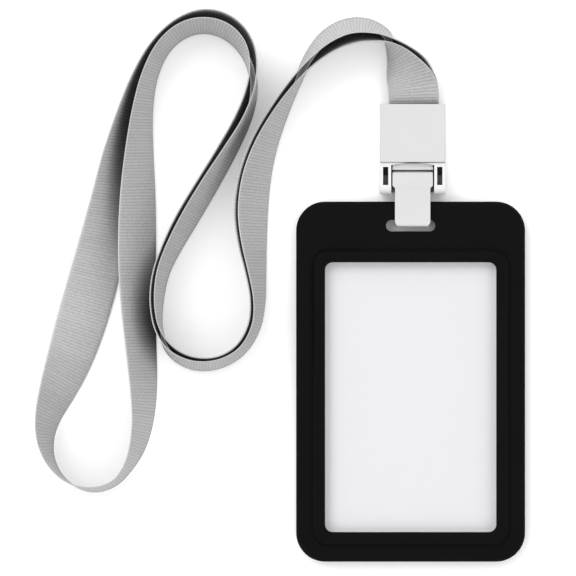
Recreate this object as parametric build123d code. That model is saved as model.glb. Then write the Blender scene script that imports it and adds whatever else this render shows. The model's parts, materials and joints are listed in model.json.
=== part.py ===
from build123d import *
import math
import os

# Lanyard badge holder, lying on its back with its neck strap laid out beside it.
# Millimetres.  +X is the holder's right, +Y points from the holder to its clasp, +Z is up, out
# of the badge window.  The origin is the middle of the holder and clasp's footprint, and z = 0
# is the surface that they lie on.

# Card holder: two black half shells, a clear window in each, and the card between them
HOLDER_Y = -14.6
HOLDER_W = 68.6
HOLDER_H = 107.9
HOLDER_CORNER_R = 8.7
MID_Z = 3.0
HALF_T = 3.0
FLANGE_HALF_T = 1.4
FLANGE_EDGE = 0.6
POCKET_Y = HOLDER_Y - 4.65
RING_W = 58.8
RING_H = 88.3
RING_CORNER_R = 5.0
RING_EDGE = 0.7
WINDOW_W = 51.3
WINDOW_H = 80.8
WINDOW_CORNER_R = 2.3
CAVITY_W = 54.6
CAVITY_H = 86.2
CAVITY_CORNER_R = 3.4
CAVITY_HALF_T = 1.75
CARD_W = 54.0
CARD_H = 85.6
CARD_T = 0.8
CARD_CORNER_R = 3.18
CARD_GAP_HALF = 0.6
PANE_FIT = 0.2
PANE_RIM = 0.05
PANE_RISE = 2.5
PANE_BEVEL = 0.5
THUMB_HOLE_L = 18.0
THUMB_HOLE_W = 10.0
THUMB_HOLE_X = -15.0
SLOT_L = 14.8
SLOT_W = 3.4
SLOT_Y = HOLDER_Y + 46.75
PEG_R = 0.8
PEG_FIT = 0.05
PEG_L = 0.7
PEG_PLACES = [(-31.8, -44.0), (-31.8, 0.0), (-31.8, 40.0), (-12.0, 50.5), (12.0, 50.5), (31.8, 47.0)]

# Strap clasp: a rear body with two hinge ears and a front cover, which grip the strap's two ends
CLASP_X = 0.6
CLASP_W = 19.6
CLASP_TOP = 68.55
COVER_BOTTOM = 51.1
EAR_BOTTOM = 41.6
CLASP_T = 7.0
BODY_T = 6.2
COVER_Z = 5.8
COVER_EDGE = 0.25
COVER_SEAM = 0.05
BASE_T = 1.8
SIDE_WALL = 1.5
END_WALL_Y = 52.6
END_WALL_T = 1.2
MOUTH_LIP = 0.55
EAR_GAP = 12.9
EAR_CORNER_R = 2.2
EAR_WINDOW_W = 1.55
EAR_WINDOW_L = 5.4
EAR_WINDOW_Y = 47.0
EAR_WINDOW_X = 8.1
EAR_WINDOW_FLOOR = 0.6
EAR_STEP_Y = 47.3
EAR_STEP_Z = 2.8
WEB_T = 0.8
BROW_Z = 5.5
BROW_BOTTOM = 50.1
BROW_ARCH_R = 30.0
BROW_MIN = 0.12
TOOTH_T = 0.8
REAR_TEETH_Y = [56.0, 59.0, 62.0, 65.0]
REAR_TEETH_Z = 2.55
FRONT_TEETH_Y = [57.5, 60.5, 63.5]
FRONT_TEETH_Z = 4.45
FRONT_LIP_Z = 4.7
COVER_PEG_R = 0.6
COVER_PEG_L = 2.0
COVER_PEG_FIT = 0.05
COVER_PEG_Y = [55.0, 65.5]
WELD = 0.01

# Hook: one flexible moulding, with trunnions that snap into the clasp's ears
AXIS_Y = 49.4
AXIS_Z = 3.4
BARREL_R = 1.9
BARREL_TOP_Y = 50.9
BARREL_TOP_Z = 5.25
TRUNNION_R = 1.1
TRUNNION_REACH = 7.0
TRUNNION_FIT = 0.08
HEAD_W = 12.1
HEAD_BOTTOM = 43.4
HEAD_TOP = 47.8
HEAD_FACE_Z = 5.8
HEAD_REAR_Z = 2.4
HEAD_LIP_T = 1.4
HEAD_SLOPE = 3.0
CREASE_Y = 48.3
CREASE_W = 0.5
CREASE_Z = 4.9
CREASE_DEPTH = 1.0
STRIP_W = 10.6
STRIP_T = 0.85
STRIP_FOLD_Y = 31.85
STRIP_DIP_Y = [42.2, 40.4, 34.0]
STRIP_DIP = 0.4
STRIP_REAR_Z = 0.1
STRIP_RISE = 1.0
STRIP_RISE_Y = 39.7
STRIP_RISE_L = 1.8
STRIP_END_Y = 47.8
SHOULDER = 0.7
FOLD_CORNER = 0.8
FOLD_CORNER_RISE = 1.2
FOLD_R = 0.7
STUD_R = 1.6
STUD_FIT = 0.15
STUD_Y = 44.6

# Neck strap: one woven ribbon, both of whose ends are held in the clasp
STRAP_W = 15.0
STRAP_T = 0.5
BEND_SHARE = 0.45
ARC_STEPS = 3

# Strap route: x, y, lean in degrees and the lower edge's height over the table.  A lean of 0 is a
# ribbon on edge, and plus or minus 90 one that lies flat, with its upper edge to the right or the
# left of the way it runs.  The rear layer goes from the clasp to the far end.
REAR_ROUTE = [
    (0.9, 61.0, 90, 2.6), (1.1, 69.3, 90, 2.6), (0.7, 75.5, 77, 2.1), (-0.2, 81.5, 42, 0.5),
    (-4.6, 88.3, -3, 0.2), (-10.9, 91.9, -17, 0.2), (-18.2, 92.4, -20, 0.2), (-25.1, 89.2, -18, 0.2),
    (-30.7, 83.2, -9, 0.2), (-35.3, 75.9, 4, 0.2), (-40.3, 66.6, 16, 0.2), (-44.9, 56.7, 27, 0.2),
    (-47.6, 46.5, 36, 0.2), (-48.6, 36.3, 39, 0.2), (-48.3, 27.0, 30, 0.2), (-47.0, 18.3, 20, 0.2),
    (-46.3, 9.9, 12, 0.2), (-47.0, 2.1, 11, 0.2), (-50.9, -4.8, 10, 0.2), (-57.5, -8.7, 10, 0.2),
    (-65.3, -8.7, 10, 0.2), (-71.6, -5.1, 6, 0.2), (-75.1, 1.2, -3, 0.2), (-75.6, 9.0, -10, 0.2),
    (-74.5, 17.7, -14, 0.2), (-71.2, 25.3, -18, 0.2), (-66.0, 34.6, -22, 0.2), (-59.8, 45.0, -21, 0.2),
    (-53.8, 54.9, -16, 0.2), (-48.8, 63.9, -10, 0.2), (-46.1, 72.9, -4, 0.2), (-46.4, 82.2, 6, 0.2),
    (-49.9, 89.1, 16, 0.2), (-55.7, 93.4, 21, 0.2), (-62.5, 94.5, 22, 0.2), (-69.8, 91.5, 21, 0.2),
    (-76.4, 85.2, 19, 0.2), (-81.4, 76.5, 18, 0.2), (-85.0, 66.3, 22, 0.2), (-87.5, 53.4, 40, 0.2),
    (-89.6, 39.0, 57, 0.2), (-93.2, 23.1, 72, 0.2), (-97.3, 7.8, 85, 0.2), (-101.8, -6.9, 66, 0.2),
    (-105.5, -16.2, 49, 0.2), (-108.8, -24.6, 31, 0.2), (-109.7, -32.1, 19, 0.2),
    (-107.8, -39.3, 8, 0.2), (-102.8, -45.0, 0, 0.2), (-95.6, -47.4, -7, 0.2),
]
# The front layer comes back from the far end to the clasp.
FRONT_ROUTE = [
    (-88.7, -45.6, -7, 0.2), (-84.5, -40.5, -10, 0.2), (-81.5, -33.9, -19, 0.2),
    (-80.0, -25.5, -26, 0.2), (-79.9, -15.9, -33, 0.2), (-80.8, -3.6, -38, 0.2),
    (-81.7, 9.9, -45, 0.2), (-82.0, 24.9, -50, 0.2), (-81.8, 39.9, -46, 0.2),
    (-81.4, 53.4, -35, 0.2), (-80.5, 66.3, -24, 0.2), (-78.4, 77.1, -18, 0.2), (-74.3, 85.8, -17, 0.2),
    (-68.2, 91.0, -18, 0.2), (-61.4, 92.4, -18, 0.2), (-55.0, 90.5, -18, 0.2), (-50.3, 85.8, -13, 0.2),
    (-48.1, 78.9, -2, 0.2), (-48.8, 71.4, 6, 0.2), (-51.5, 63.3, 12, 0.2), (-56.2, 54.0, 17, 0.2),
    (-61.7, 44.1, 22, 0.2), (-67.8, 34.0, 23, 0.2), (-72.6, 25.0, 18, 0.2), (-75.7, 17.4, 14, 0.2),
    (-76.7, 9.3, 12, 0.2), (-76.2, 0.6, 4, 0.2), (-72.7, -6.3, -6, 0.2), (-65.6, -10.1, -11, 0.2),
    (-57.5, -9.8, -11, 0.2), (-50.2, -5.8, -9, 0.2), (-45.9, 1.8, -10, 0.2), (-45.1, 9.9, -13, 0.2),
    (-46.0, 18.6, -21, 0.2), (-47.0, 27.3, -31, 0.2), (-47.4, 36.3, -38, 0.2), (-46.4, 46.2, -36, 0.2),
    (-43.6, 56.1, -28, 0.2), (-38.8, 66.3, -17, 0.2), (-33.8, 74.7, -6, 0.2), (-29.0, 81.3, 6, 0.2),
    (-22.9, 86.5, 15, 0.2), (-15.8, 89.2, 18, 0.2), (-9.8, 88.7, 13, 0.2), (-5.9, 85.7, -11, 0.2),
    (-2.1, 79.8, -45, 2.2), (0.6, 74.8, -74, 3.3), (1.1, 69.3, -90, 3.6), (0.9, 63.0, -90, 3.6),
]


def block(low, high):
    """A box from its lowest to its highest corner."""
    size = [b - a for a, b in zip(low, high)]
    middle = [(a + b) / 2 for a, b in zip(low, high)]
    return Pos(*middle) * Box(*size)


def plate(width, height, corner_r, y, z_low, z_high):
    """A rounded rectangle centred on x = 0 and y, between two heights."""
    face = Pos(0, y, z_low) * RectangleRounded(width, height, corner_r)
    return extrude(face, z_high - z_low)


def top_edges(solid, z):
    """The solid's edges that lie in the plane at height z."""
    return solid.edges().filter_by_position(Axis.Z, z - 0.001, z + 0.001)


def front_half_shell():
    """The holder's front half, from its joint face up: rim, raised ring, lip and card cavity."""
    rim = plate(HOLDER_W, HOLDER_H, HOLDER_CORNER_R, HOLDER_Y, MID_Z, MID_Z + FLANGE_HALF_T)
    rim = chamfer(top_edges(rim, MID_Z + FLANGE_HALF_T), FLANGE_EDGE)
    ring = plate(RING_W, RING_H, RING_CORNER_R, POCKET_Y, MID_Z, MID_Z + HALF_T)
    ring = chamfer(top_edges(ring, MID_Z + HALF_T), RING_EDGE)
    shell = rim + ring
    shell -= plate(CAVITY_W, CAVITY_H, CAVITY_CORNER_R, POCKET_Y, MID_Z, MID_Z + CAVITY_HALF_T)
    shell -= plate(WINDOW_W, WINDOW_H, WINDOW_CORNER_R, POCKET_Y, MID_Z, MID_Z + HALF_T)
    half_cavity = CAVITY_H / 2
    shell -= block(
        (CAVITY_W / 2 - CAVITY_CORNER_R, POCKET_Y - half_cavity, MID_Z),
        (HOLDER_W / 2 + 1, POCKET_Y + half_cavity, MID_Z + CARD_GAP_HALF),
    )
    slot = Pos(0, SLOT_Y, MID_Z) * SlotOverall(SLOT_L, SLOT_W)
    return shell - extrude(slot, FLANGE_HALF_T)


def flipped(solid):
    """The mirror image of a half, on the other side of the holder's joint face."""
    return mirror(solid, about=Plane.XY.offset(MID_Z))


def pegs(radius, length):
    """The round pegs that locate the two half shells, standing on the joint face."""
    places = [Pos(x, HOLDER_Y + y, MID_Z + length / 2) for x, y in PEG_PLACES]
    return Compound([place * Cylinder(radius, length) for place in places])


def make_front_shell():
    sockets = pegs(PEG_R + PEG_FIT, PEG_L + PEG_FIT)
    return front_half_shell() - sockets


def make_rear_shell():
    return flipped(front_half_shell()) + pegs(PEG_R, PEG_L)


def front_pane():
    """A clear pane: a rim that sits behind the shell's lip and a raised face with a bevelled edge."""
    low = MID_Z + CARD_GAP_HALF
    rim_top = MID_Z + CAVITY_HALF_T - PANE_RIM
    rim = plate(
        CAVITY_W - 2 * PANE_FIT, CAVITY_H - 2 * PANE_FIT, CAVITY_CORNER_R - PANE_FIT, POCKET_Y, low, rim_top
    )
    face = plate(
        WINDOW_W - 2 * PANE_FIT,
        WINDOW_H - 2 * PANE_FIT,
        WINDOW_CORNER_R - PANE_FIT,
        POCKET_Y,
        low,
        MID_Z + PANE_RISE,
    )
    face = chamfer(top_edges(face, MID_Z + PANE_RISE), PANE_BEVEL)
    return rim + face


def make_rear_pane():
    """The rear pane has a thumb hole, to push the card out with."""
    hole = Pos(THUMB_HOLE_X, POCKET_Y, 0) * SlotOverall(THUMB_HOLE_L, THUMB_HOLE_W)
    return flipped(front_pane()) - extrude(hole, MID_Z)


def make_card():
    low = MID_Z - CARD_T / 2
    return plate(CARD_W, CARD_H, CARD_CORNER_R, POCKET_Y, low, low + CARD_T)


def clasp_block(x_half, y_low, y_high, z_low, z_high):
    """A box as wide as twice x_half, centred on the clasp."""
    return block((CLASP_X - x_half, y_low, z_low), (CLASP_X + x_half, y_high, z_high))


def hinge_bar(radius, reach):
    """A round bar on the hinge axis, as long as twice its reach."""
    return Pos(CLASP_X, AXIS_Y, AXIS_Z) * Rot(0, 90, 0) * Cylinder(radius, 2 * reach)


def cover_pegs(radius, length):
    """The cover's four snap pegs, in the body's side walls."""
    reach = (CLASP_W - SIDE_WALL) / 2
    places = [Pos(CLASP_X + side * reach, y, COVER_Z - length / 2) for side in (-1, 1) for y in COVER_PEG_Y]
    return Compound([place * Cylinder(radius, length) for place in places])


def teeth(reach, rows, z_low, z_high):
    """Ribs across the strap, one at each y in rows."""
    ribs = [clasp_block(reach, y - TOOTH_T / 2, y + TOOTH_T / 2, z_low, z_high) for y in rows]
    return Compound(ribs)


def ear_window(x):
    """The slot in an ear: deep at the hinge pin's end and shallow below it."""
    left = x - EAR_WINDOW_W / 2
    right = x + EAR_WINDOW_W / 2
    bottom = EAR_WINDOW_Y - EAR_WINDOW_L / 2
    top = EAR_WINDOW_Y + EAR_WINDOW_L / 2
    shallow = block((left, bottom, EAR_STEP_Z), (right, top, BODY_T + 1))
    return shallow + block((left, EAR_STEP_Y, EAR_WINDOW_FLOOR), (right, top, BODY_T + 1))


def make_clasp_body():
    """Base plate, side walls, end wall, rear teeth, and two ears with a web behind the hook."""
    half = CLASP_W / 2
    inner = half - SIDE_WALL
    ear_top = COVER_BOTTOM - COVER_SEAM
    body = clasp_block(half, EAR_BOTTOM, ear_top, 0, BODY_T)
    body = fillet(body.edges().filter_by(Axis.X).group_by(Axis.Y)[0], EAR_CORNER_R)
    body += clasp_block(half, ear_top - 1, CLASP_TOP, 0, COVER_Z)
    body -= clasp_block(inner, END_WALL_Y + END_WALL_T, CLASP_TOP + 1, BASE_T, COVER_Z)
    body += clasp_block(inner, CLASP_TOP - 1, CLASP_TOP, BASE_T - WELD, BASE_T + MOUTH_LIP)
    body += teeth(inner, REAR_TEETH_Y, BASE_T - WELD, REAR_TEETH_Z)
    body -= clasp_block(EAR_GAP / 2, EAR_BOTTOM - 1, END_WALL_Y, WEB_T, BODY_T)
    brow = clasp_block(EAR_GAP / 2 + WELD, BROW_BOTTOM, ear_top, BROW_Z, BODY_T)
    arch_y = ear_top - BROW_MIN - BROW_ARCH_R
    body += brow - Pos(CLASP_X, arch_y, BODY_T) * Cylinder(BROW_ARCH_R, 2 * BODY_T)
    for side in (-1, 1):
        body -= ear_window(CLASP_X + side * EAR_WINDOW_X)
    body -= hinge_bar(TRUNNION_R + TRUNNION_FIT, TRUNNION_REACH + TRUNNION_FIT)
    return body - cover_pegs(COVER_PEG_R + COVER_PEG_FIT, COVER_PEG_L + COVER_PEG_FIT)


def make_clasp_cover():
    """Front plate with a lip at the strap's mouth, front teeth, and pegs into the body."""
    half = CLASP_W / 2
    inner = half - SIDE_WALL - COVER_PEG_FIT
    cover = clasp_block(half, COVER_BOTTOM, CLASP_TOP, COVER_Z, CLASP_T)
    cover = chamfer(top_edges(cover, CLASP_T), COVER_EDGE)
    cover += clasp_block(inner, CLASP_TOP - 1, CLASP_TOP, FRONT_LIP_Z, COVER_Z + WELD)
    cover += teeth(inner, FRONT_TEETH_Y, FRONT_TEETH_Z, COVER_Z + WELD)
    return cover + cover_pegs(COVER_PEG_R, COVER_PEG_L)


def side_profile(points, width):
    """A closed outline of (y, z) points, made as wide as the given width about the clasp's middle."""
    face = make_face(Polyline([(CLASP_X, y, z) for y, z in points], close=True))
    return extrude(face, width / 2, both=True, dir=(1, 0, 0))


def hook_head():
    """Flat-topped barrel, trunnions and face plate, with a crease between barrel and plate."""
    plate_points = [
        (CREASE_Y, CREASE_Z),
        (HEAD_TOP, HEAD_FACE_Z),
        (HEAD_BOTTOM, HEAD_FACE_Z),
        (HEAD_BOTTOM, HEAD_FACE_Z - HEAD_LIP_T),
        (HEAD_BOTTOM + HEAD_SLOPE, HEAD_REAR_Z),
        (AXIS_Y, HEAD_REAR_Z),
        (AXIS_Y, CREASE_Z),
    ]
    face_plate = side_profile(plate_points, HEAD_W)
    lower_corners = face_plate.edges().filter_by(Axis.Z).group_by(Axis.Y)[0]
    face_plate = chamfer(lower_corners, SHOULDER)
    half = HEAD_W / 2
    barrel = hinge_bar(BARREL_R, half)
    barrel += clasp_block(half, AXIS_Y - CREASE_W, BARREL_TOP_Y, AXIS_Z, BARREL_TOP_Z)
    crease = clasp_block(half + 1, CREASE_Y, CREASE_Y + CREASE_W, CREASE_Z - CREASE_DEPTH, HEAD_FACE_Z)
    return face_plate + barrel - crease + hinge_bar(TRUNNION_R, TRUNNION_REACH)


def fold_corner(side):
    """The sloping corner that is cut from one side of the strip's fold."""
    edge = STRIP_W / 2
    outline = [
        (edge - FOLD_CORNER, STRIP_FOLD_Y - 1),
        (edge - FOLD_CORNER, STRIP_FOLD_Y),
        (edge, STRIP_FOLD_Y + FOLD_CORNER_RISE),
        (edge + 1, STRIP_FOLD_Y + FOLD_CORNER_RISE),
        (edge + 1, STRIP_FOLD_Y - 1),
    ]
    face = make_face(Polyline([(CLASP_X + side * x, y, 0) for x, y in outline], close=True))
    return extrude(face, HEAD_FACE_Z, dir=(0, 0, 1))


def hook_strip():
    """The strip: down the front with a shallow dip, through the slot, and up the back to its snap hole."""
    front_z = HEAD_FACE_Z - STRIP_T
    dip_from, dip_to, dip_end = STRIP_DIP_Y
    rear_top = STRIP_REAR_Z + STRIP_T
    rise_end = STRIP_RISE_Y + STRIP_RISE_L
    strip_points = [
        (HEAD_BOTTOM + WELD, HEAD_FACE_Z),
        (dip_from, HEAD_FACE_Z),
        (dip_to, HEAD_FACE_Z - STRIP_DIP),
        (dip_end, HEAD_FACE_Z - STRIP_DIP),
        (STRIP_FOLD_Y, HEAD_FACE_Z - STRIP_DIP / 2),
        (STRIP_FOLD_Y, STRIP_REAR_Z),
        (STRIP_RISE_Y, STRIP_REAR_Z),
        (rise_end, STRIP_REAR_Z + STRIP_RISE),
        (STRIP_END_Y, STRIP_REAR_Z + STRIP_RISE),
        (STRIP_END_Y, rear_top + STRIP_RISE),
        (rise_end, rear_top + STRIP_RISE),
        (STRIP_RISE_Y, rear_top),
        (STRIP_FOLD_Y + STRIP_T, rear_top),
        (STRIP_FOLD_Y + STRIP_T, front_z - STRIP_DIP / 2),
        (dip_end, front_z - STRIP_DIP),
        (dip_to, front_z - STRIP_DIP),
        (dip_from, front_z),
        (HEAD_BOTTOM + WELD, front_z),
    ]
    strip = side_profile(strip_points, STRIP_W)
    strip = fillet(strip.edges().filter_by(Axis.X).group_by(Axis.Y)[0], FOLD_R)
    for side in (-1, 1):
        strip -= fold_corner(side)
    hole = Pos(CLASP_X, STUD_Y, STRIP_REAR_Z + STRIP_RISE) * Cylinder(STUD_R + STUD_FIT, 2 * STRIP_T + 1)
    return strip - hole


def make_hook():
    """One moulding: the head, the strip, and the snap stud behind the head."""
    stud_low = STRIP_REAR_Z + STRIP_RISE
    stud_top = HEAD_FACE_Z - HEAD_LIP_T
    stud = Pos(CLASP_X, STUD_Y, (stud_low + stud_top) / 2) * Cylinder(STUD_R, stud_top - stud_low)
    return hook_head() + hook_strip() + stud


def route_points():
    """The strap's route, with the height of its middle line worked out from lean and lower edge."""
    points = []
    for x, y, lean, lift in REAR_ROUTE + FRONT_ROUTE:
        turn = math.radians(lean)
        rise = STRAP_W / 2 * math.cos(turn) + STRAP_T / 2 * abs(math.sin(turn))
        points.append((Vector(x, y, lift + rise), lean))
    return points


def bend_radii(places):
    """One arc radius for each inner point: 0.45 of the shorter run over the tangent of half the turn."""
    radii = []
    for before, here, after in zip(places, places[1:], places[2:]):
        turn = math.radians((here - before).get_angle(after - here))
        shorter = min((here - before).length, (after - here).length)
        radii.append(BEND_SHARE * shorter / math.tan(turn / 2))
    return radii


def stations(places, leans, radii):
    """Points along the straight runs and their tangent arcs, each with its lean."""
    found = [(places[0], leans[0])]
    for i, radius in enumerate(radii, start=1):
        back = (places[i - 1] - places[i]).normalized()
        ahead = (places[i + 1] - places[i]).normalized()
        half_turn = math.radians(180 - back.get_angle(ahead)) / 2
        reach = radius * math.tan(half_turn)
        to_centre = (back + ahead).normalized()
        centre = places[i] + to_centre * (radius / math.cos(half_turn))
        across = (back - ahead).normalized()
        for step in range(ARC_STEPS + 1):
            angle = half_turn * (1 - 2 * step / ARC_STEPS)
            spot = centre - to_centre * (radius * math.cos(angle)) + across * (radius * math.sin(angle))
            share = reach * (1 - 2 * step / ARC_STEPS)
            run = (places[i - 1] - places[i]).length if share > 0 else (places[i + 1] - places[i]).length
            other = leans[i - 1] if share > 0 else leans[i + 1]
            found.append((spot, leans[i] + (other - leans[i]) * abs(share) / run))
    found.append((places[-1], leans[-1]))
    return found


def cross_section(spot, along, lean):
    """The ribbon's four corners at one point of its route."""
    right = Vector(along.Y, -along.X, 0).normalized()
    turn = math.radians(lean)
    width = Vector(0, 0, 1) * math.cos(turn) + right * math.sin(turn)
    width = (width - along * width.dot(along)).normalized() * (STRAP_W / 2)
    out = along.cross(width).normalized() * (STRAP_T / 2)
    return [spot + width + out, spot + width - out, spot - width - out, spot - width + out]


def facet(*corners):
    return Face(Wire.make_polygon(corners, close=True))


def make_strap():
    """The ribbon as flat facets between cross-sections along its route."""
    route = route_points()
    places = [place for place, lean in route]
    leans = [lean for place, lean in route]
    radii = bend_radii(places)
    print("strap bend radii", [round(radius, 1) for radius in radii])
    line = stations(places, leans, radii)
    spots = [spot for spot, lean in line]
    sections = []
    for i, (spot, lean) in enumerate(line):
        along = (spots[min(i + 1, len(spots) - 1)] - spots[max(i - 1, 0)]).normalized()
        sections.append(cross_section(spot, along, lean))
    faces = [facet(*sections[0]), facet(*reversed(sections[-1]))]
    for near, far in zip(sections, sections[1:]):
        for i in range(4):
            j = (i + 1) % 4
            faces.append(facet(near[i], far[i], far[j]))
            faces.append(facet(near[i], far[j], near[j]))
    strap = Solid(Shell(faces))
    length = sum((b - a).length for a, b in zip(spots, spots[1:]))
    print("strap length", round(length, 1))
    print("strap volume", round(strap.volume), "of", round(length * STRAP_W * STRAP_T))
    return strap


PARTS = {
    "holder_front_shell": make_front_shell,
    "holder_rear_shell": make_rear_shell,
    "front_window": front_pane,
    "rear_window": make_rear_pane,
    "insert_card": make_card,
    "clasp_rear_body": make_clasp_body,
    "clasp_front_cover": make_clasp_cover,
    "hook": make_hook,
    "lanyard_strap": make_strap,
}

os.makedirs("parts", exist_ok=True)
for name, make in PARTS.items():
    export_step(make(), f"parts/{name}.step")
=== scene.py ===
import json
import math

import bmesh
import bpy
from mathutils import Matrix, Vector

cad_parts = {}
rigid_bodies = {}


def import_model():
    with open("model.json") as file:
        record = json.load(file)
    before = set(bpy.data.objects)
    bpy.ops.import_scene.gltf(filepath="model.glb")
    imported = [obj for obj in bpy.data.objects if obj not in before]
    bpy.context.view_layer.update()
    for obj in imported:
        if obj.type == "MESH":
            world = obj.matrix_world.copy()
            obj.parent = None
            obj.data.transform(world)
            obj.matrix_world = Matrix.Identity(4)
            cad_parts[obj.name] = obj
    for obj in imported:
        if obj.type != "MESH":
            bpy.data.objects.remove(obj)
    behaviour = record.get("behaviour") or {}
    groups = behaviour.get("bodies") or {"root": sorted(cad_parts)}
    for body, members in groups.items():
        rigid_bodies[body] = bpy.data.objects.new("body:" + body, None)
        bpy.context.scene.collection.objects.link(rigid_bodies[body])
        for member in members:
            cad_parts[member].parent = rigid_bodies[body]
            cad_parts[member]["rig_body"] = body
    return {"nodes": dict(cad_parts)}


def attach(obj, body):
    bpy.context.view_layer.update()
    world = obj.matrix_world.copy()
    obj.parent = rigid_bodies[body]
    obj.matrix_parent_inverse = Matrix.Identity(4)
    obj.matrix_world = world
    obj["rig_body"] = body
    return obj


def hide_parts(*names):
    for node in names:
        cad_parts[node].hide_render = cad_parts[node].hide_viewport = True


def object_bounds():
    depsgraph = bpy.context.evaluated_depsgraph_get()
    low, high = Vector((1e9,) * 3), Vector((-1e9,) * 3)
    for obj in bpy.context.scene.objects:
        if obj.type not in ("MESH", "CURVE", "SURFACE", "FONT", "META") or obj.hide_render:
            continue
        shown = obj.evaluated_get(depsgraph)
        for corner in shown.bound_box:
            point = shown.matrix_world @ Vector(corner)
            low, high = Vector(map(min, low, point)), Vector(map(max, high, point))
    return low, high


# A lanyard badge holder: a ribbed neck ribbon gripped in a two-part clasp, a flexible hook that hinges
# on the clasp, and a black card holder with a clear window on each side.
# Metres, in the row frame.  +X is the holder's right, +Y runs from the holder to its clasp, +Z is up.

bl_info = {
    "name": "Lanyard badge holder",
    "version": (1, 0, 0),
    "blender": (4, 5, 0),
    "location": "3D View > Sidebar > Badge holder",
    "description": "Builds the ribbon, the clasp, the hook and the card holder around the packed frame",
    "category": "Add Mesh",
}

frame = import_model()
CAD_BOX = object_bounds()
CAD_MIDDLE = (CAD_BOX[0] + CAD_BOX[1]) / 2

# The ribbon's route: x, y, lean in degrees and the lower edge's height.  A lean of 0 is a ribbon on edge
# and 90 one that lies flat, with its upper edge to the right, or for a negative lean to the left, of the
# way it runs.  The rear layer runs from the clasp to the far end, and the front layer comes back.
REAR_ROUTE = [
    (0.0009, 0.0610, 90, 0.0026), (0.0011, 0.0693, 90, 0.0026), (0.0007, 0.0755, 77, 0.0021),
    (-0.0002, 0.0815, 42, 0.0005), (-0.0046, 0.0883, -3, 0.0002), (-0.0109, 0.0919, -17, 0.0002),
    (-0.0182, 0.0924, -20, 0.0002), (-0.0251, 0.0892, -18, 0.0002), (-0.0307, 0.0832, -9, 0.0002),
    (-0.0353, 0.0759, 4, 0.0002), (-0.0403, 0.0666, 16, 0.0002), (-0.0449, 0.0567, 27, 0.0002),
    (-0.0476, 0.0465, 36, 0.0002), (-0.0486, 0.0363, 39, 0.0002), (-0.0483, 0.0270, 30, 0.0002),
    (-0.0470, 0.0183, 20, 0.0002), (-0.0463, 0.0099, 12, 0.0002), (-0.0470, 0.0021, 11, 0.0002),
    (-0.0509, -0.0048, 10, 0.0002), (-0.0575, -0.0087, 10, 0.0002), (-0.0653, -0.0087, 10, 0.0002),
    (-0.0716, -0.0051, 6, 0.0002), (-0.0751, 0.0012, -3, 0.0002), (-0.0756, 0.0090, -10, 0.0002),
    (-0.0745, 0.0177, -14, 0.0002), (-0.0712, 0.0253, -18, 0.0002), (-0.0660, 0.0346, -22, 0.0002),
    (-0.0598, 0.0450, -21, 0.0002), (-0.0538, 0.0549, -16, 0.0002), (-0.0488, 0.0639, -10, 0.0002),
    (-0.0461, 0.0729, -4, 0.0002), (-0.0464, 0.0822, 6, 0.0002), (-0.0499, 0.0891, 16, 0.0002),
    (-0.0557, 0.0934, 21, 0.0002), (-0.0625, 0.0945, 22, 0.0002), (-0.0698, 0.0915, 21, 0.0002),
    (-0.0764, 0.0852, 19, 0.0002), (-0.0814, 0.0765, 18, 0.0002), (-0.0850, 0.0663, 22, 0.0002),
    (-0.0875, 0.0534, 40, 0.0002), (-0.0896, 0.0390, 57, 0.0002), (-0.0932, 0.0231, 72, 0.0002),
    (-0.0973, 0.0078, 85, 0.0002), (-0.1018, -0.0069, 66, 0.0002), (-0.1055, -0.0162, 49, 0.0002),
    (-0.1088, -0.0246, 31, 0.0002), (-0.1097, -0.0321, 19, 0.0002), (-0.1078, -0.0393, 8, 0.0002),
    (-0.1028, -0.0450, 0, 0.0002), (-0.0956, -0.0474, -7, 0.0002),
]
FRONT_ROUTE = [
    (-0.0887, -0.0456, -7, 0.0002), (-0.0845, -0.0405, -10, 0.0002), (-0.0815, -0.0339, -19, 0.0002),
    (-0.0800, -0.0255, -26, 0.0002), (-0.0799, -0.0159, -33, 0.0002), (-0.0808, -0.0036, -38, 0.0002),
    (-0.0817, 0.0099, -45, 0.0002), (-0.0820, 0.0249, -50, 0.0002), (-0.0818, 0.0399, -46, 0.0002),
    (-0.0814, 0.0534, -35, 0.0002), (-0.0805, 0.0663, -24, 0.0002), (-0.0784, 0.0771, -18, 0.0002),
    (-0.0743, 0.0858, -17, 0.0002), (-0.0682, 0.0910, -18, 0.0002), (-0.0614, 0.0924, -18, 0.0002),
    (-0.0550, 0.0905, -18, 0.0002), (-0.0503, 0.0858, -13, 0.0002), (-0.0481, 0.0789, -2, 0.0002),
    (-0.0488, 0.0714, 6, 0.0002), (-0.0515, 0.0633, 12, 0.0002), (-0.0562, 0.0540, 17, 0.0002),
    (-0.0617, 0.0441, 22, 0.0002), (-0.0678, 0.0340, 23, 0.0002), (-0.0726, 0.0250, 18, 0.0002),
    (-0.0757, 0.0174, 14, 0.0002), (-0.0767, 0.0093, 12, 0.0002), (-0.0762, 0.0006, 4, 0.0002),
    (-0.0727, -0.0063, -6, 0.0002), (-0.0656, -0.0101, -11, 0.0002), (-0.0575, -0.0098, -11, 0.0002),
    (-0.0502, -0.0058, -9, 0.0002), (-0.0459, 0.0018, -10, 0.0002), (-0.0451, 0.0099, -13, 0.0002),
    (-0.0460, 0.0186, -21, 0.0002), (-0.0470, 0.0273, -31, 0.0002), (-0.0474, 0.0363, -38, 0.0002),
    (-0.0464, 0.0462, -36, 0.0002), (-0.0436, 0.0561, -28, 0.0002), (-0.0388, 0.0663, -17, 0.0002),
    (-0.0338, 0.0747, -6, 0.0002), (-0.0290, 0.0813, 6, 0.0002), (-0.0229, 0.0865, 15, 0.0002),
    (-0.0158, 0.0892, 18, 0.0002), (-0.0098, 0.0887, 13, 0.0002), (-0.0059, 0.0857, -11, 0.0002),
    (-0.0021, 0.0798, -45, 0.0022), (0.0006, 0.0748, -74, 0.0033), (0.0011, 0.0693, -90, 0.0036),
    (0.0009, 0.0630, -90, 0.0036),
]


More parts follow.
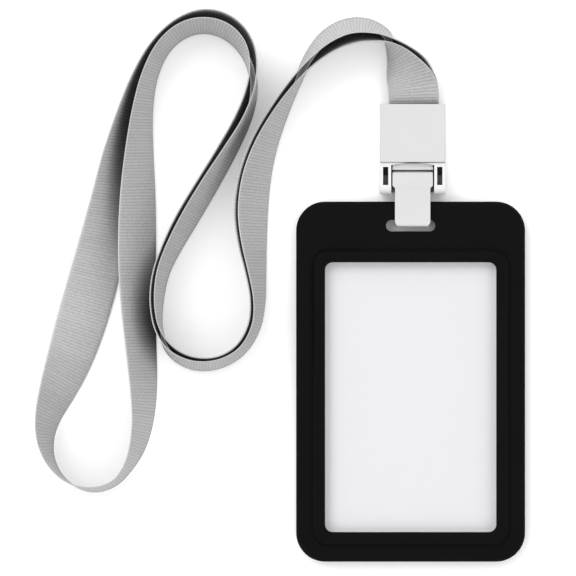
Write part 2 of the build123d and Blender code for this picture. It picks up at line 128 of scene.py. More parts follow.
# ---------------------------------------------------------------------------------------------
# Small helpers
# ---------------------------------------------------------------------------------------------


def linear(code):
    """A colour code such as #A0A0A0, as linear red, green, blue and 1."""
    channels = [int(code[i : i + 2], 16) / 255 for i in (1, 3, 5)]
    turned = [c / 12.92 if c <= 0.04045 else ((c + 0.055) / 1.055) ** 2.4 for c in channels]
    return (*turned, 1.0)


def add_node(tree, kind, inputs=None, **settings):
    """One node with its settings.  An input is linked if its value is a socket or a node, which stands
    for its first output, and set if it is anything else."""
    node = tree.nodes.new(kind)
    for name, value in settings.items():
        setattr(node, name, value)
    for name, value in (inputs or {}).items():
        if isinstance(value, bpy.types.Node):
            value = value.outputs[0]
        if isinstance(value, bpy.types.NodeSocket):
            tree.links.new(value, node.inputs[name])
        else:
            node.inputs[name].default_value = value
    return node


def link_object(name, data):
    """A new object in the scene, at the origin."""
    made = bpy.data.objects.new(name, data)
    bpy.context.scene.collection.objects.link(made)
    return made


def plain_mesh(source, name):
    """The evaluated object as a plain mesh object, in the source's place."""
    depsgraph = bpy.context.evaluated_depsgraph_get()
    mesh = bpy.data.meshes.new_from_object(source.evaluated_get(depsgraph), depsgraph=depsgraph)
    mesh.name = name
    bpy.data.objects.remove(source)
    return link_object(name, mesh)


def colour(name, description, code):
    """A colour property whose default is a colour code."""
    return bpy.props.FloatVectorProperty(
        name=name, description=description, default=linear(code), size=4, min=0, max=1, subtype="COLOR"
    )


def length(name, description, default):
    """A length property in metres."""
    return bpy.props.FloatProperty(
        name=name, description=description, default=default, min=0, precision=5, unit="LENGTH"
    )


def share(name, description, default, most=1.0):
    """A plain number from 0 to its most."""
    return bpy.props.FloatProperty(
        name=name, description=description, default=default, min=0, max=most, precision=3
    )


# ---------------------------------------------------------------------------------------------
# Settings
# ---------------------------------------------------------------------------------------------


class BADGE_PG_stage(bpy.types.PropertyGroup):
    view_width: length("View width", "Width of the floor that the camera sees", 0.1728)
    view_right: bpy.props.FloatProperty(
        name="View right",
        description="How far right of the middle the view is",
        default=0.0024,
        unit="LENGTH",
    )
    view_up: bpy.props.FloatProperty(
        name="View up",
        description="How far above the middle the view is",
        default=-0.00085,
        unit="LENGTH",
    )
    camera_height: length("Camera height", "Height of the camera over the floor", 3.0)
    floor_colour: colour("Floor colour", "Colour of the plain floor", "#F6F6F6")
    # Painted glow: the floor is lifted for the camera alone, which lightens the shadows on it.
    painted_floor_glow: share("Floor glow", "Light from below that the camera sees in the floor", 0.14)
    dome: share("Dome", "Strength of the even light from all round", 0.4, 5.0)
    ring: share("Ring", "Strength of the ring of light half way up", 1.2, 10.0)
    ring_lean: share("Ring lean", "How much brighter the ring is on the clasp's side", 0.12)
    key_power: bpy.props.FloatProperty(
        name="Key light", description="Power of the large soft light", default=12.5, unit="POWER"
    )


class BADGE_PG_ribbon(bpy.types.PropertyGroup):
    width: length("Width", "Width of the ribbon", 0.015)
    thickness: length("Thickness", "Thickness over the ribs", 0.0005)
    rib_pitch: length("Rib pitch", "Distance from one rib to the next", 0.00092)
    rib_depth: length("Rib depth", "Depth of the groove between two ribs", 0.00006)
    selvedge: length("Selvedge", "Width of the plain woven edge", 0.0003)
    colour: colour("Colour", "Colour of the ribs", "#B2B2B3")
    # Painted shade: the grooves between the ribs get a darker colour for the shade that falls in them.
    painted_groove_shade_colour: colour("Groove colour", "Colour between the ribs", "#9B9B9D")
    # Partly painted highlight: the selvedge's lighter colour stands for its plainer weave and for the
    # highlight along the ribbon's edge.
    selvedge_colour_and_highlight: colour("Edge colour", "Colour of the plain woven edge", "#BABABB")
    # Painted shade: how dark the weave's colour is made where two layers shut it in.
    closed_shade: share("Shade", "Brightness of the weave where two layers shut it in", 0.03)


class BADGE_PG_holder(bpy.types.PropertyGroup):
    colour: colour("Colour", "Colour of the moulded shells", "#060606")
    edge_round: length("Edge round", "Radius on the moulded edges", 0.00008)
    pane_tint: colour("Pane tint", "Colour of the clear panes", "#FBFBFC")
    card_colour: colour("Card colour", "Colour of the blank card", "#E0E0E0")


class BADGE_PG_clasp(bpy.types.PropertyGroup):
    cover_colour: colour("Cover colour", "Colour of the clasp's front cover", "#C5C5C5")
    body_colour: colour("Body colour", "Colour of the clasp's rear body", "#D8D8D8")
    hook_colour: colour("Hook colour", "Colour of the flexible hook", "#C8C8C8")
    edge_round: length("Edge round", "Radius on the moulded edges", 0.0001)


# ---------------------------------------------------------------------------------------------
# Materials
# ---------------------------------------------------------------------------------------------

# The real size of each pattern: one grain of a moulded surface, or one patch of wear, smear or flow.
SHELL_GRAIN = 0.00035
SHELL_WEAR = 0.018
PANE_SMEAR = 0.025
CARD_TOOTH = 0.0004
SATIN_GRAIN = 0.0003
HOOK_GRAIN = 0.0005
PLASTIC_FLOW = 0.012
WEAVE_MOTTLE = 0.0009
# Warp threads are about 0.12 mm apart, too fine to show, so they are drawn 0.5 mm apart.
DRAWN_THREAD = 0.0005

# How near other surfaces must be to shut the light out of a gap between them: painted shade darkens the
# plastic's and the weave's colour there, and the floor's painted glow fades.
GAP_REACH = 0.004
LAYER_REACH = 0.008
SHADE_REACH = 0.012


def new_material(name):
    """An empty node material, with its tree and output."""
    made = bpy.data.materials.new(name)
    made.use_nodes = True
    made.node_tree.nodes.clear()
    return made, made.node_tree, add_node(made.node_tree, "ShaderNodeOutputMaterial")


def shaded(base, factor):
    """A colour made darker by a factor."""
    return (*(channel * factor for channel in base[:3]), 1.0)


def matt_black_polypropylene(settings):
    """Black polypropylene, injection moulded in a spark-eroded tool: a deep, even black with a faint
    soft sheen, broken by a fine pebbled grain and a few handling marks."""
    made, tree, output = new_material("matt_black_polypropylene")
    place = add_node(tree, "ShaderNodeTexCoord").outputs["Object"]
    grain = add_node(
        tree,
        "ShaderNodeTexNoise",
        {"Vector": place, "Scale": 1 / SHELL_GRAIN, "Detail": 3.0, "Roughness": 0.6},
    )
    wear = add_node(
        tree,
        "ShaderNodeTexNoise",
        {"Vector": place, "Scale": 1 / SHELL_WEAR, "Detail": 4.0, "Roughness": 0.55},
    )
    rough = add_node(
        tree,
        "ShaderNodeMapRange",
        {"Value": wear.outputs["Fac"], "From Min": 0.3, "From Max": 0.7, "To Min": 0.42, "To Max": 0.54},
    )
    bump = add_node(
        tree, "ShaderNodeBump", {"Height": grain.outputs["Fac"], "Strength": 0.25, "Distance": 0.00003}
    )
    worn = add_node(
        tree,
        "ShaderNodeMix",
        {0: wear.outputs["Fac"], 6: shaded(settings.colour, 0.8), 7: settings.colour},
        data_type="RGBA",
    )
    shader = add_node(
        tree,
        "ShaderNodeBsdfPrincipled",
        {
            "Base Color": worn.outputs[2],
            "Roughness": rough.outputs["Result"],
            "IOR": 1.49,
            "Specular IOR Level": 0.08,
            "Normal": bump.outputs["Normal"],
        },
    )
    tree.links.new(shader.outputs[0], output.inputs["Surface"])
    return made


def clear_polycarbonate(settings):
    """Clear polycarbonate sheet, polished: the card shows through it with a slight grey veil, and the
    bevelled rim catches the light."""
    made, tree, output = new_material("clear_polycarbonate")
    place = add_node(tree, "ShaderNodeTexCoord").outputs["Object"]
    smear = add_node(
        tree,
        "ShaderNodeTexNoise",
        {"Vector": place, "Scale": 1 / PANE_SMEAR, "Detail": 3.0, "Roughness": 0.5},
    )
    rough = add_node(
        tree,
        "ShaderNodeMapRange",
        {"Value": smear.outputs["Fac"], "From Min": 0.35, "From Max": 0.7, "To Min": 0.03, "To Max": 0.09},
    )
    shader = add_node(
        tree,
        "ShaderNodeBsdfPrincipled",
        {
            "Base Color": settings.pane_tint,
            "Roughness": rough.outputs["Result"],
            "IOR": 1.58,
            "Transmission Weight": 1.0,
        },
    )
    # Lamp and sky light pass straight through a thin pane, so the card behind it stays bright.
    ray = add_node(tree, "ShaderNodeLightPath").outputs
    passing = add_node(
        tree, "ShaderNodeMath", {0: ray["Is Shadow Ray"], 1: ray["Is Diffuse Ray"]}, operation="MAXIMUM"
    )
    open_pane = add_node(tree, "ShaderNodeBsdfTransparent", {"Color": settings.pane_tint})
    mixed = add_node(tree, "ShaderNodeMixShader", {0: passing, 1: shader, 2: open_pane})
    tree.links.new(mixed.outputs[0], output.inputs["Surface"])
    return made


def satin_white_card(settings):
    """Blank white PVC card: a flat, bright white with a very fine tooth and hardly any gloss."""
    made, tree, output = new_material("satin_white_card")
    place = add_node(tree, "ShaderNodeTexCoord").outputs["Object"]
    tooth = add_node(
        tree,
        "ShaderNodeTexNoise",
        {"Vector": place, "Scale": 1 / CARD_TOOTH, "Detail": 2.0, "Roughness": 0.5},
    )
    bump = add_node(
        tree, "ShaderNodeBump", {"Height": tooth.outputs["Fac"], "Strength": 0.15, "Distance": 0.00002}
    )
    mottled = add_node(
        tree,
        "ShaderNodeMix",
        {0: tooth.outputs["Fac"], 6: shaded(settings.card_colour, 0.97), 7: settings.card_colour},
        data_type="RGBA",
    )
    shader = add_node(
        tree,
        "ShaderNodeBsdfPrincipled",
        {
            "Base Color": mottled.outputs[2],
            "Roughness": 0.55,
            "IOR": 1.5,
            "Specular IOR Level": 0.4,
            "Normal": bump.outputs["Normal"],
        },
    )
    tree.links.new(shader.outputs[0], output.inputs["Surface"])
    return made


def satin_plastic(name, base, roughness, grain_size, through=0.0):
    """White moulded plastic with a fine satin grain.  A little light passes into it, which softens
    its shaded edges.  Painted shade darkens its colour where other surfaces lie close, so deep, narrow gaps
    look nearly black."""
    made, tree, output = new_material(name)
    place = add_node(tree, "ShaderNodeTexCoord").outputs["Object"]
    grain = add_node(
        tree,
        "ShaderNodeTexNoise",
        {"Vector": place, "Scale": 1 / grain_size, "Detail": 3.0, "Roughness": 0.55},
    )
    flow = add_node(
        tree,
        "ShaderNodeTexNoise",
        {"Vector": place, "Scale": 1 / PLASTIC_FLOW, "Detail": 2.0, "Roughness": 0.5},
    )
    rough = add_node(
        tree,
        "ShaderNodeMapRange",
        {
            "Value": flow.outputs["Fac"],
            "From Min": 0.3,
            "From Max": 0.7,
            "To Min": roughness - 0.05,
            "To Max": roughness + 0.05,
        },
    )
    bump = add_node(
        tree, "ShaderNodeBump", {"Height": grain.outputs["Fac"], "Strength": 0.2, "Distance": 0.00002}
    )
    clouded = add_node(
        tree, "ShaderNodeMix", {0: flow.outputs["Fac"], 6: shaded(base, 0.975), 7: base}, data_type="RGBA"
    )
    # Painted shade: the colour is darkened where other surfaces lie close, so deep, narrow gaps look nearly
    # black against the white.
    closed = add_node(tree, "ShaderNodeAmbientOcclusion", {"Distance": GAP_REACH}, samples=12)
    light = add_node(
        tree,
        "ShaderNodeMapRange",
        {"Value": closed.outputs["AO"], "From Min": 0.12, "From Max": 0.42, "To Min": 0.06},
    )
    toned_and_painted_shade = add_node(
        tree, "ShaderNodeVectorMath", {0: clouded.outputs[2], "Scale": light}, operation="SCALE"
    )
    shader = add_node(
        tree,
        "ShaderNodeBsdfPrincipled",
        {
            "Base Color": toned_and_painted_shade,
            "Roughness": rough.outputs["Result"],
            "IOR": 1.52,
            "Specular IOR Level": 0.4,
            "Subsurface Weight": through,
            "Subsurface Radius": (0.6, 0.55, 0.5),
            "Subsurface Scale": 0.001,
            "Normal": bump.outputs["Normal"],
        },
    )
    tree.links.new(shader.outputs[0], output.inputs["Surface"])
    return made


def grosgrain_polyester(settings):
    """Grey polyester grosgrain, woven: thick weft cords make ribs across the ribbon, fine warp threads
    run over them, and a plain woven edge looks lighter and thinner than the ribs.  Painted shade darkens the
    grooves between the ribs and the weave where other surfaces lie close, and the edge's lighter colour is
    partly a painted highlight."""
    made, tree, output = new_material("grosgrain_polyester")
    along = add_node(tree, "ShaderNodeAttribute", attribute_name="along").outputs["Fac"]
    across = add_node(tree, "ShaderNodeAttribute", attribute_name="across").outputs["Fac"]
    half_turn = add_node(
        tree, "ShaderNodeMath", {0: along, 1: math.pi / settings.rib_pitch}, operation="MULTIPLY"
    )
    wave = add_node(tree, "ShaderNodeMath", {0: half_turn}, operation="SINE")
    crown = add_node(tree, "ShaderNodeMath", {0: wave}, operation="ABSOLUTE")
    ribs_passed = add_node(tree, "ShaderNodeMath", {0: along, 1: settings.rib_pitch}, operation="DIVIDE")
    rib_number = add_node(tree, "ShaderNodeMath", {0: ribs_passed}, operation="FLOOR")
    uneven = add_node(tree, "ShaderNodeTexWhiteNoise", {"W": rib_number}, noise_dimensions="1D")
    from_middle = add_node(tree, "ShaderNodeMath", {0: across, 1: settings.width / 2}, operation="MULTIPLY")
    flat_place = add_node(tree, "ShaderNodeCombineXYZ", {"X": from_middle, "Y": along})
    thread_turn = add_node(
        tree, "ShaderNodeMath", {0: across, 1: math.pi * settings.width / DRAWN_THREAD}, operation="MULTIPLY"
    )
    thread = add_node(tree, "ShaderNodeMath", {0: thread_turn}, operation="SINE")
    mottle = add_node(
        tree,
        "ShaderNodeTexNoise",
        {"Vector": flat_place, "Scale": 1 / WEAVE_MOTTLE, "Detail": 4.0, "Roughness": 0.75},
    )
    # Painted shade: the colour falls to the darker groove colour between the ribs.
    rib_with_painted_groove_shade = add_node(
        tree, "ShaderNodeMix", {0: crown, 6: settings.painted_groove_shade_colour, 7: settings.colour}, data_type="RGBA"
    )
    tone = add_node(
        tree,
        "ShaderNodeMapRange",
        {"Value": uneven.outputs["Value"], "To Min": 0.97, "To Max": 1.03},
    ).outputs["Result"]
    speck = add_node(
        tree,
        "ShaderNodeMapRange",
        {"Value": mottle.outputs["Fac"], "From Min": 0.3, "From Max": 0.7, "To Min": 0.84, "To Max": 1.14},
    ).outputs["Result"]
    # Painted shade: the weave's colour is darkened where other surfaces lie close, so between two layers
    # that lie close together it looks nearly black, and it grows darker towards an edge that stands near the
    # floor.
    closed = add_node(tree, "ShaderNodeAmbientOcclusion", {"Distance": LAYER_REACH}, samples=12)
    light = add_node(
        tree,
        "ShaderNodeMapRange",
        {"Value": closed.outputs["AO"], "From Min": 0.22, "From Max": 0.8, "To Min": settings.closed_shade},
    ).outputs["Result"]
    strength = add_node(tree, "ShaderNodeMath", {0: tone, 1: speck}, operation="MULTIPLY")
    strength = add_node(tree, "ShaderNodeMath", {0: strength, 1: light}, operation="MULTIPLY")
    toned_and_painted_shade = add_node(
        tree, "ShaderNodeVectorMath", {0: rib_with_painted_groove_shade.outputs[2], "Scale": strength}, operation="SCALE"
    )
    edge_from = 1 - 2 * settings.selvedge / settings.width
    off_middle = add_node(tree, "ShaderNodeMath", {0: across}, operation="ABSOLUTE")
    edge = add_node(
        tree,
        "ShaderNodeMapRange",
        {"Value": off_middle, "From Min": edge_from - 0.02, "From Max": edge_from + 0.02},
    )
    # Partly painted highlight: the selvedge takes its own lighter colour, for its plainer weave and for the
    # highlight along the edge.
    woven = add_node(
        tree, "ShaderNodeMix", {0: edge, 6: toned_and_painted_shade, 7: settings.selvedge_colour_and_highlight}, data_type="RGBA"
    )
    height = add_node(tree, "ShaderNodeMath", {0: thread, 1: 0.2}, operation="MULTIPLY")
    height = add_node(
        tree, "ShaderNodeMath", {0: mottle.outputs["Fac"], 1: 0.6, 2: height}, operation="MULTIPLY_ADD"
    )
    bump = add_node(tree, "ShaderNodeBump", {"Height": height, "Strength": 0.5, "Distance": 0.00008})
    shader = add_node(
        tree,
        "ShaderNodeBsdfPrincipled",
        {
            "Base Color": woven.outputs[2],
            "Roughness": 0.72,
            "IOR": 1.5,
            "Specular IOR Level": 0.3,
            "Sheen Weight": 0.15,
            "Sheen Roughness": 0.5,
            "Normal": bump.outputs["Normal"],
        },
    )
    tree.links.new(shader.outputs[0], output.inputs["Surface"])
    return made


def matt_white_floor(settings):
    """Matt white studio floor, plain and pale, with a painted glow that lightens its shadows.  The glow
    only shows to the camera, and it fades where something stands close to the floor, which paints soft shade
    there."""
    made, tree, output = new_material("matt_white_floor")
    ray = add_node(tree, "ShaderNodeLightPath").outputs
    closed = add_node(tree, "ShaderNodeAmbientOcclusion", {"Distance": SHADE_REACH}, samples=16)
    painted_glow_share = add_node(
        tree,
        "ShaderNodeMapRange",
        {"Value": closed.outputs["AO"], "From Min": 0.08, "From Max": 0.2, "To Max": settings.painted_floor_glow},
    )
    # Painted glow: emission that only camera rays see, weaker where occlusion paints shade near things.
    glow = add_node(
        tree, "ShaderNodeMath", {0: ray["Is Camera Ray"], 1: painted_glow_share}, operation="MULTIPLY"
    )
    shader = add_node(
        tree,
        "ShaderNodeBsdfPrincipled",
        {
            "Base Color": settings.floor_colour,
            "Roughness": 0.95,
            "Specular IOR Level": 0.0,
            "Emission Color": (1, 1, 1, 1),
            "Emission Strength": glow,
        },
    )
    tree.links.new(shader.outputs[0], output.inputs["Surface"])
    return made


# ---------------------------------------------------------------------------------------------
# Stage
# ---------------------------------------------------------------------------------------------

FLOOR_HALF = 2.5
FLOOR_DROP = 0.00005
KEY_PLACE = (-1.0, 1.1, 1.3)
KEY_SIZE = 1.2
RING_TOP = 1.0
RING_SCALE = 6.75


def area_light(name, place, size, power):
    """A square soft light that points at the middle of the object."""
    data = bpy.data.lights.new(name, "AREA")
    data.shape = "SQUARE"
    data.size = size
    data.energy = power
    made = link_object(name, data)
    made.location = place
    made.rotation_euler = (CAD_MIDDLE - Vector(place)).to_track_quat("-Z", "Y").to_euler()


def white_room(settings):
    """Light from a white room: even all round, with a soft bright ring half way up."""
    made = bpy.data.worlds.new("white_room")
    made.use_nodes = True
    tree = made.node_tree
    tree.nodes.clear()
    direction = add_node(tree, "ShaderNodeTexCoord").outputs["Generated"]
    way = add_node(tree, "ShaderNodeSeparateXYZ", {0: direction}).outputs
    height = add_node(tree, "ShaderNodeMath", {0: way["Z"]}, operation="ABSOLUTE")
    rising = add_node(tree, "ShaderNodeMath", {0: height, 1: 2.0}, operation="POWER")
    falling = add_node(tree, "ShaderNodeMath", {0: RING_TOP, 1: height}, operation="SUBTRACT")
    ring = add_node(tree, "ShaderNodeMath", {0: rising, 1: falling}, operation="MULTIPLY")
    leaning = add_node(
        tree, "ShaderNodeMath", {0: way["Y"], 1: settings.ring_lean, 2: 1.0}, operation="MULTIPLY_ADD"
    )
    ring = add_node(tree, "ShaderNodeMath", {0: ring, 1: leaning}, operation="MULTIPLY")
    strength = add_node(
        tree,
        "ShaderNodeMath",
        {0: ring, 1: settings.ring * RING_SCALE, 2: settings.dome},
        operation="MULTIPLY_ADD",
    )
    light = add_node(tree, "ShaderNodeBackground", {"Color": (1, 1, 1, 1), "Strength": strength})
    add_node(tree, "ShaderNodeOutputWorld", {"Surface": light})
    return made


class BADGE_OT_stage(bpy.types.Operator):
    """Make the pale floor, the soft studio light and the camera overhead"""

    bl_idname = "badge.stage"
    bl_label = "Stage"

    def execute(self, context):
        settings = context.scene.badge_stage
        mesh = bpy.data.meshes.new("floor")
        sides = ((-1, -1), (1, -1), (1, 1), (-1, 1))
        corners = [(x * FLOOR_HALF, y * FLOOR_HALF, -FLOOR_DROP) for x, y in sides]
        mesh.from_pydata(corners, [], [(0, 1, 2, 3)])
        floor = link_object("floor", mesh)
        mesh.materials.append(matt_white_floor(settings))
        area_light("key_light", KEY_PLACE, KEY_SIZE, settings.key_power)
        context.scene.world = white_room(settings)
        context.scene.view_settings.view_transform = "Standard"
        data = bpy.data.cameras.new("camera")
        data.lens = data.sensor_width * settings.camera_height / settings.view_width
        data.clip_end = 100
        camera = link_object("camera", data)
        camera.location = (
            CAD_MIDDLE.x + settings.view_right,
            CAD_MIDDLE.y + settings.view_up,
            settings.camera_height,
        )
        context.scene.camera = camera
        return {"FINISHED"}


# ---------------------------------------------------------------------------------------------
# Neck ribbon
# ---------------------------------------------------------------------------------------------

STATIONS_PER_RIB = 4
PROFILE_POINTS = 20
# How steeply the ribbon's section turns over at its edges, and how thick its face is beside them.
EDGE_SHARPNESS = 3.2
FACE_SHARE = 0.86
# The tree's inputs, and the setting that each is given.
RIBBON_SIZES = {
    "Width": "width",
    "Thickness": "thickness",
    "Rib pitch": "rib_pitch",
    "Rib depth": "rib_depth",
    "Selvedge": "selvedge",
}


def ribbon_tree(material):
    """Geometry nodes that lay a ribbed ribbon along a curve, turned as the curve's tilt says."""
    tree = bpy.data.node_groups.new("Ribbed ribbon", "GeometryNodeTree")
    tree.interface.new_socket("Geometry", in_out="INPUT", socket_type="NodeSocketGeometry")
    for name in RIBBON_SIZES:
        tree.interface.new_socket(name, in_out="INPUT", socket_type="NodeSocketFloat")
    tree.interface.new_socket("Geometry", in_out="OUTPUT", socket_type="NodeSocketGeometry")
    given = add_node(tree, "NodeGroupInput").outputs

    step = add_node(
        tree, "ShaderNodeMath", {0: given["Rib pitch"], 1: STATIONS_PER_RIB}, operation="DIVIDE"
    )
    line = add_node(
        tree, "GeometryNodeResampleCurve", {"Curve": given["Geometry"], "Length": step}, mode="LENGTH"
    )
    line = add_node(tree, "GeometryNodeSetCurveNormal", {"Curve": line}, mode="Z_UP")
    travelled = add_node(tree, "GeometryNodeSplineParameter").outputs["Length"]
    line = add_node(
        tree, "GeometryNodeStoreNamedAttribute", {"Geometry": line, "Name": "along", "Value": travelled}
    )

    # The ribbon's section: a circle pressed flat, with a fuller bead at each selvedge.
    ring = add_node(
        tree,
        "GeometryNodeCurvePrimitiveCircle",
        {"Resolution": PROFILE_POINTS, "Radius": 1.0},
        mode="RADIUS",
    )
    spot = add_node(tree, "GeometryNodeInputPosition")
    spot = add_node(tree, "ShaderNodeSeparateXYZ", {0: spot}).outputs
    ring = add_node(
        tree, "GeometryNodeStoreNamedAttribute", {"Geometry": ring, "Name": "across", "Value": spot["X"]}
    )
    from_middle = add_node(tree, "ShaderNodeMath", {0: spot["X"]}, operation="ABSOLUTE")
    edge_share = add_node(
        tree, "ShaderNodeMath", {0: given["Selvedge"], 1: given["Width"]}, operation="DIVIDE"
    )
    edge_from = add_node(
        tree, "ShaderNodeMath", {0: edge_share, 1: -2.0, 2: 1.0}, operation="MULTIPLY_ADD"
    )
    at_edge = add_node(tree, "ShaderNodeMath", {0: from_middle, 1: edge_from}, operation="GREATER_THAN")
    fullness = add_node(
        tree, "ShaderNodeMath", {0: at_edge, 1: 1 - FACE_SHARE, 2: FACE_SHARE}, operation="MULTIPLY_ADD"
    )
    side = add_node(tree, "ShaderNodeMath", {0: spot["Y"], 1: EDGE_SHARPNESS}, operation="MULTIPLY")
    side = add_node(tree, "ShaderNodeMath", {0: side, 1: 1.0}, operation="MINIMUM")
    side = add_node(tree, "ShaderNodeMath", {0: side, 1: -1.0}, operation="MAXIMUM")
    side = add_node(tree, "ShaderNodeMath", {0: side, 1: fullness}, operation="MULTIPLY")
    half_width = add_node(tree, "ShaderNodeMath", {0: given["Width"], 1: 0.5}, operation="MULTIPLY")
    half_thick = add_node(tree, "ShaderNodeMath", {0: given["Thickness"], 1: 0.5}, operation="MULTIPLY")
    right = add_node(tree, "ShaderNodeMath", {0: spot["X"], 1: half_width}, operation="MULTIPLY")
    up = add_node(tree, "ShaderNodeMath", {0: side, 1: half_thick}, operation="MULTIPLY")
    outline = add_node(tree, "ShaderNodeCombineXYZ", {"X": right, "Y": up})
    ring = add_node(tree, "GeometryNodeSetPosition", {"Geometry": ring, "Position": outline})

    ribbon = add_node(
        tree, "GeometryNodeCurveToMesh", {"Curve": line, "Profile Curve": ring, "Fill Caps": True}
    )
    # The ribs: the faces sink between two of them, and the selvedges don't.
    along = add_node(tree, "GeometryNodeInputNamedAttribute", {"Name": "along"}, data_type="FLOAT")
    across = add_node(tree, "GeometryNodeInputNamedAttribute", {"Name": "across"}, data_type="FLOAT")
    half_turn = add_node(tree, "ShaderNodeMath", {0: along, 1: math.pi}, operation="MULTIPLY")
    half_turn = add_node(tree, "ShaderNodeMath", {0: half_turn, 1: given["Rib pitch"]}, operation="DIVIDE")
    wave = add_node(tree, "ShaderNodeMath", {0: half_turn}, operation="SINE")
    crown = add_node(tree, "ShaderNodeMath", {0: wave}, operation="ABSOLUTE")
    off_middle = add_node(tree, "ShaderNodeMath", {0: across}, operation="ABSOLUTE")
    on_face = add_node(tree, "ShaderNodeMath", {0: off_middle, 1: edge_from}, operation="LESS_THAN")
    sink = add_node(tree, "ShaderNodeMath", {0: crown, 1: 1.0}, operation="SUBTRACT")
    sink = add_node(tree, "ShaderNodeMath", {0: sink, 1: on_face}, operation="MULTIPLY")
    depth = add_node(tree, "ShaderNodeMath", {0: sink, 1: given["Rib depth"]}, operation="MULTIPLY")
    outward = add_node(tree, "GeometryNodeInputNormal")
    shift = add_node(tree, "ShaderNodeVectorMath", {0: outward, "Scale": depth}, operation="SCALE")
    ribbon = add_node(tree, "GeometryNodeSetPosition", {"Geometry": ribbon, "Offset": shift})
    ribbon = add_node(tree, "GeometryNodeSetShadeSmooth", {"Geometry": ribbon, "Shade Smooth": True})
    ribbon = add_node(tree, "GeometryNodeRealizeInstances", {"Geometry": ribbon})
    ribbon = add_node(tree, "GeometryNodeSetMaterial", {"Geometry": ribbon, "Material": material})
    add_node(tree, "NodeGroupOutput", {"Geometry": ribbon})
    return tree


def route_curve(settings):
    """The route as one NURBS spline, whose tilt turns the ribbon about its line."""
    data = bpy.data.curves.new("ribbon_route", "CURVE")
    data.dimensions = "3D"
    data.twist_mode = "Z_UP"
    spline = data.splines.new("NURBS")
    route = REAR_ROUTE + FRONT_ROUTE
    spline.points.add(len(route) - 1)
    for point, (x, y, lean, lift) in zip(spline.points, route):
        turn = math.radians(lean)
        rise = settings.width / 2 * math.cos(turn) + settings.thickness / 2 * abs(math.sin(turn))
        point.co = (x, y, lift + rise, 1.0)
        point.tilt = turn - math.pi / 2
    spline.order_u = 3
    spline.use_endpoint_u = True
    spline.resolution_u = 12
    return link_object("ribbon_route", data)


class BADGE_OT_ribbon(bpy.types.Operator):
    """Make the ribbed neck ribbon along its route"""

    bl_idname = "badge.ribbon"
    bl_label = "Neck ribbon"

    def execute(self, context):
        settings = context.scene.badge_ribbon
        curve = route_curve(settings)
        bare = bpy.data.meshes.new_from_object(curve)
        bpy.data.meshes.remove(bare)
        tree = ribbon_tree(grosgrain_polyester(settings))
        modifier = curve.modifiers.new("Ribbed ribbon", "NODES")
        modifier.node_group = tree
        for item in tree.interface.items_tree:
            if item.in_out == "INPUT" and item.name in RIBBON_SIZES:
                modifier[item.identifier] = getattr(settings, RIBBON_SIZES[item.name])
        ribbon = plain_mesh(curve, "neck_ribbon")
        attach(ribbon, "clasp")
        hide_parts("lanyard_strap")
        return {"FINISHED"}


# ---------------------------------------------------------------------------------------------
# Moulded parts
# ---------------------------------------------------------------------------------------------

SHARP_ANGLE = math.radians(32)
FLAT_ANGLE = math.radians(0.6)
MERGE = 1e-6
# The shortest edge that gets a round, on the shells and on the clasp and hook.
SHELL_EDGE = 0.00045
CLASP_EDGE = 0.0008
# How rough each finish is: the cover is more matt than the body, and the hook is the glossiest.
COVER_ROUGHNESS = 0.5
BODY_ROUGHNESS = 0.42
HOOK_ROUGHNESS = 0.38
# The share of the light that passes into the hook's thin plastic.
HOOK_THROUGH = 0.15


def eased(node, name, radius, shortest, material):
    """A copy of a CAD node's mesh with a small round on its outer edges, as a mould leaves it.  Edges
    under the shortest length, such as a pin's rim, stay sharp."""
    source = frame["nodes"][node]
    shape = bmesh.new()
    shape.from_mesh(source.data)
    bmesh.ops.remove_doubles(shape, verts=shape.verts, dist=MERGE)
    bmesh.ops.dissolve_limit(shape, angle_limit=FLAT_ANGLE, verts=shape.verts, edges=shape.edges)
    for face in shape.faces:
        face.smooth = True
    weight = shape.edges.layers.float.new("bevel_weight_edge")
    for edge in shape.edges:
        turn = edge.calc_face_angle_signed(0.0)
        if edge.calc_length() >= shortest and turn > SHARP_ANGLE:
            edge[weight] = 1.0
        elif abs(turn) > SHARP_ANGLE:
            edge.smooth = False
    mesh = bpy.data.meshes.new(name)
    shape.to_mesh(mesh)
    shape.free()
    mesh.materials.clear()
    mesh.materials.append(material)
    rough = link_object(name + "_source", mesh)
    bevel = rough.modifiers.new("Mould radius", "BEVEL")
    bevel.width = radius
    bevel.segments = 2
    bevel.limit_method = "WEIGHT"
    bevel.use_clamp_overlap = False
    bevel.miter_outer = "MITER_ARC"
    rough.modifiers.new("Even shading", "WEIGHTED_NORMAL").keep_sharp = True
    piece = plain_mesh(rough, name)
    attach(piece, source["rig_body"])
    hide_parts(node)
    return piece


def finish_node(node, material):
    """Give a CAD node its real finish."""
    materials = frame["nodes"][node].data.materials
    materials.clear()
    materials.append(material)


class BADGE_OT_holder(bpy.types.Operator):
    """Make the two black half shells of the card holder"""

    bl_idname = "badge.holder"
    bl_label = "Holder shells"

    def execute(self, context):
        settings = context.scene.badge_holder
        plastic = matt_black_polypropylene(settings)
        for node in ("holder_front_shell", "holder_rear_shell"):
            piece = eased(node, node + "_moulding", settings.edge_round, SHELL_EDGE, plastic)
        return {"FINISHED"}


class BADGE_OT_panes(bpy.types.Operator):
    """Finish the two clear panes"""

    bl_idname = "badge.panes"
    bl_label = "Clear panes"

    def execute(self, context):
        clear = clear_polycarbonate(context.scene.badge_holder)
        for node in ("front_window", "rear_window"):
            finish_node(node, clear)
        return {"FINISHED"}


class BADGE_OT_card(bpy.types.Operator):
    """Finish the blank card"""

    bl_idname = "badge.card"
    bl_label = "Card"

    def execute(self, context):
        finish_node("insert_card", satin_white_card(context.scene.badge_holder))
        return {"FINISHED"}


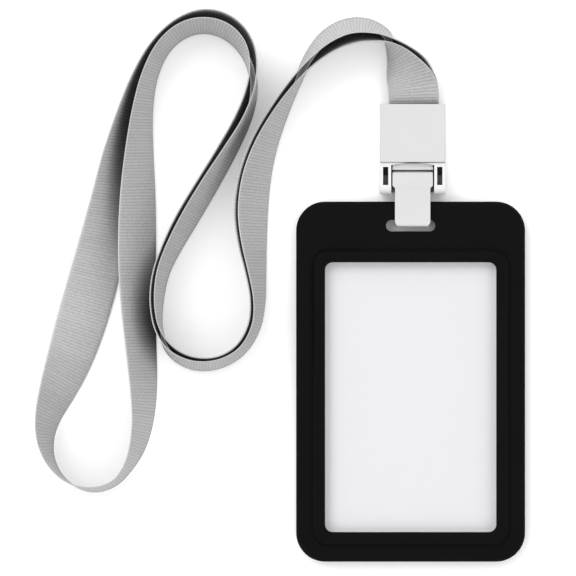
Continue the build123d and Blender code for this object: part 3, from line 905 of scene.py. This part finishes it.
class BADGE_OT_clasp(bpy.types.Operator):
    """Make the clasp's rear body and front cover"""

    bl_idname = "badge.clasp"
    bl_label = "Clasp"

    def execute(self, context):
        settings = context.scene.badge_clasp
        # ABS, moulded with a fine satin grain: an even, slightly grey white with a soft highlight.
        cover = satin_plastic(
            "satin_white_abs_cover", settings.cover_colour, COVER_ROUGHNESS, SATIN_GRAIN
        )
        body = satin_plastic("satin_white_abs_body", settings.body_colour, BODY_ROUGHNESS, SATIN_GRAIN)
        for node, plastic in (("clasp_front_cover", cover), ("clasp_rear_body", body)):
            piece = eased(node, node + "_moulding", settings.edge_round, CLASP_EDGE, plastic)
        return {"FINISHED"}


class BADGE_OT_hook(bpy.types.Operator):
    """Make the flexible hook"""

    bl_idname = "badge.hook"
    bl_label = "Hook"

    def execute(self, context):
        settings = context.scene.badge_clasp
        # Flexible polypropylene, moulded: a softer, slightly see-through white.
        plastic = satin_plastic(
            "flexible_polypropylene", settings.hook_colour, HOOK_ROUGHNESS, HOOK_GRAIN, HOOK_THROUGH
        )
        piece = eased("hook", "hook_moulding", settings.edge_round, CLASP_EDGE, plastic)
        return {"FINISHED"}


# ---------------------------------------------------------------------------------------------
# Panel and registration
# ---------------------------------------------------------------------------------------------

STEPS = (
    BADGE_OT_stage,
    BADGE_OT_ribbon,
    BADGE_OT_holder,
    BADGE_OT_panes,
    BADGE_OT_card,
    BADGE_OT_clasp,
    BADGE_OT_hook,
)
SETTINGS = {
    "badge_stage": BADGE_PG_stage,
    "badge_ribbon": BADGE_PG_ribbon,
    "badge_holder": BADGE_PG_holder,
    "badge_clasp": BADGE_PG_clasp,
}


class BADGE_PT_panel(bpy.types.Panel):
    """The badge holder's settings and steps"""

    bl_label = "Lanyard badge holder"
    bl_idname = "BADGE_PT_panel"
    bl_space_type = "VIEW_3D"
    bl_region_type = "UI"
    bl_category = "Badge holder"

    def draw(self, context):
        for name, group in SETTINGS.items():
            box = self.layout.box()
            box.label(text=name.replace("_", " ").capitalize())
            for field in group.__annotations__:
                box.prop(getattr(context.scene, name), field)
        for step in STEPS:
            self.layout.operator(step.bl_idname)


def register():
    for group in SETTINGS.values():
        bpy.utils.register_class(group)
    for name, group in SETTINGS.items():
        setattr(bpy.types.Scene, name, bpy.props.PointerProperty(type=group))
    for step in STEPS:
        bpy.utils.register_class(step)
    bpy.utils.register_class(BADGE_PT_panel)


def unregister():
    bpy.utils.unregister_class(BADGE_PT_panel)
    for step in reversed(STEPS):
        bpy.utils.unregister_class(step)
    for name in SETTINGS:
        delattr(bpy.types.Scene, name)
    for group in reversed(SETTINGS.values()):
        bpy.utils.unregister_class(group)


def main():
    register()
    bpy.ops.badge.stage()
    bpy.ops.badge.ribbon()
    bpy.ops.badge.holder()
    bpy.ops.badge.panes()
    bpy.ops.badge.card()
    bpy.ops.badge.clasp()
    bpy.ops.badge.hook()


if __name__ == "__main__":
    main()
